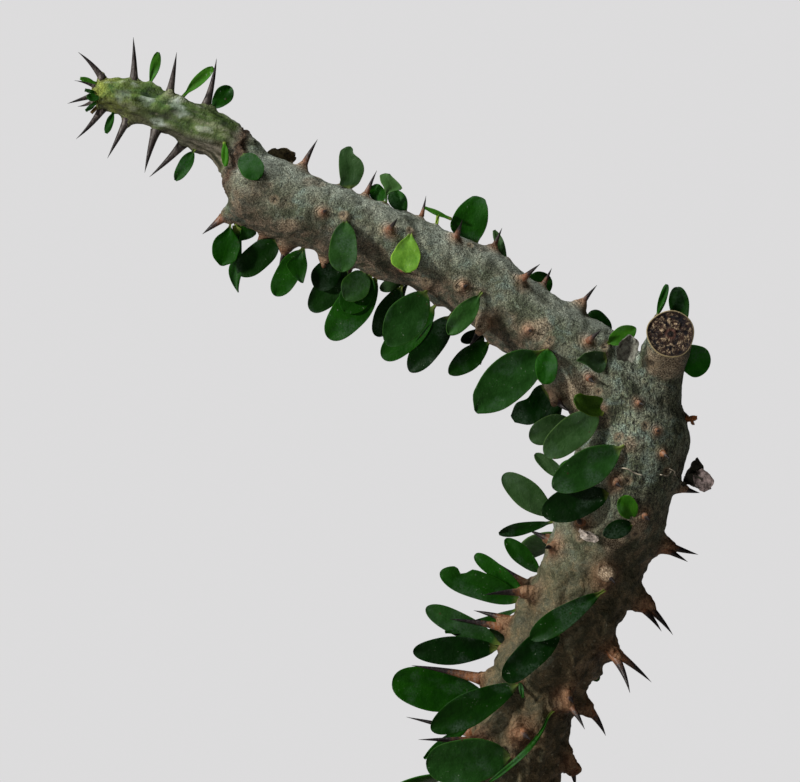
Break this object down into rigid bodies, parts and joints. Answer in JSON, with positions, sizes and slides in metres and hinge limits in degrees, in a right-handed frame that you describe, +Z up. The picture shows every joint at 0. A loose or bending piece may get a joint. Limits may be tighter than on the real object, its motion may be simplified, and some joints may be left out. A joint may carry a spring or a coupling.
{
  "type": "potted madagascar ocotillo",
  "caption": "Thorny Madagascar ocotillo stem with small round leaves, bent over at an elbow beside a cut-back stub, growing in a plain clay pot with a drain hole.",
  "frame": {"origin": "middle of the pot's foot, on the surface it stands on", "axes": "+Z up, -Y towards the viewer of the picture, +X to the viewer's right"},
  "size_m": [0.17, 0.17, 0.411],
  "materials": {
    "clay": "matte",
    "potting_mix": "matte",
    "bark": "matte",
    "leaf": "satin",
    "young_leaf": "satin",
    "dried_leaf": "matte"
  },
  "bodies": {
    "root": {"pot": "clay", "potting_mix": "potting_mix", "stem": "bark", "leaf_tip_1": "leaf", "leaf_tip_2": "leaf", "leaf_tip_3": "leaf", "leaf_tip_4": "leaf", "leaf_tip_5": "leaf", "leaf_tip_6": "leaf", "leaf_arm_1": "leaf", "leaf_arm_2": "leaf", "leaf_arm_3": "leaf", "leaf_arm_4": "leaf", "leaf_arm_5": "leaf", "leaf_arm_6": "leaf", "leaf_arm_7": "leaf", "leaf_arm_8": "leaf", "leaf_arm_9": "leaf", "leaf_arm_10": "leaf", "leaf_arm_11": "leaf", "leaf_arm_12": "leaf", "leaf_arm_13": "leaf", "leaf_arm_14": "leaf", "leaf_arm_15": "leaf", "leaf_arm_16": "leaf", "leaf_arm_17": "leaf", "leaf_arm_18": "leaf", "leaf_arm_19": "leaf", "leaf_arm_20": "young_leaf", "leaf_arm_21": "leaf", "leaf_arm_22": "leaf", "leaf_arm_23": "leaf", "leaf_arm_24": "leaf", "leaf_arm_25": "leaf", "leaf_elbow_1": "leaf", "leaf_elbow_2": "leaf", "leaf_elbow_3": "leaf", "leaf_elbow_4": "leaf", "leaf_elbow_5": "leaf", "leaf_elbow_6": "leaf", "leaf_elbow_7": "leaf", "leaf_elbow_8": "leaf", "leaf_elbow_9": "leaf", "leaf_trunk_1": "leaf", "leaf_trunk_2": "leaf", "leaf_trunk_3": "leaf", "leaf_trunk_4": "leaf", "leaf_trunk_5": "leaf", "leaf_trunk_6": "leaf", "leaf_trunk_7": "leaf", "leaf_trunk_8": "leaf", "leaf_trunk_9": "leaf", "leaf_trunk_10": "leaf", "leaf_trunk_11": "leaf", "leaf_trunk_12": "leaf", "leaf_base_1": "leaf", "leaf_base_2": "leaf", "dried_leaf_elbow": "dried_leaf", "dried_leaf_side": "dried_leaf", "dried_leaf_arm": "dried_leaf"}
  },
  "joints": []
}
